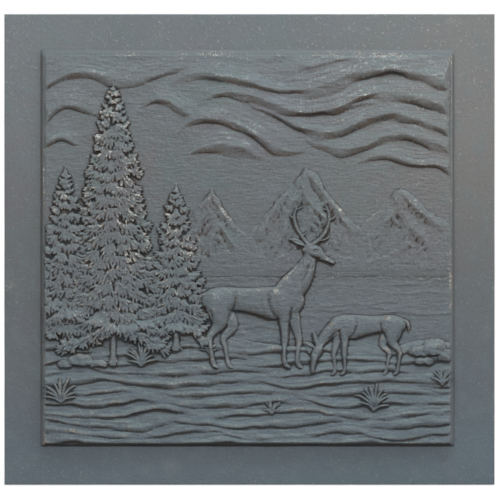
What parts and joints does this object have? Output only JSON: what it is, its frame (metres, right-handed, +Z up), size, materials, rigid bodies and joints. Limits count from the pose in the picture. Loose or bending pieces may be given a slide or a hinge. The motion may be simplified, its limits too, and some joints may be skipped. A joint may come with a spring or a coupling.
{
  "type": "cast iron fireplace plate",
  "caption": "Rectangular cast iron fireback with a flat border, a raised bevel-edged panel in woodland relief, and studs on the back that hold it off the wall.",
  "frame": {"origin": "middle of the lower edge face that the plate stands on, halfway through the border's thickness", "axes": "+Z up, the relief faces -Y, the fixing studs point along +Y, +X to the right seen from the front"},
  "size_m": [0.5, 0.095, 0.48],
  "materials": {
    "cast_iron": "blackened grey cast iron, sand-cast grain, brown in the creases",
    "stud_steel": "rolled thread, zinc plated",
    "washer_steel": "dark spring steel, lightly oiled",
    "nut_steel": "zinc plated steel"
  },
  "bodies": {
    "root": {"fireplace_plate": "cast_iron", "wall_studs": "stud_steel", "lock_washers": "washer_steel", "jam_nuts": "nut_steel", "standoff_nuts": "nut_steel"}
  },
  "joints": []
}
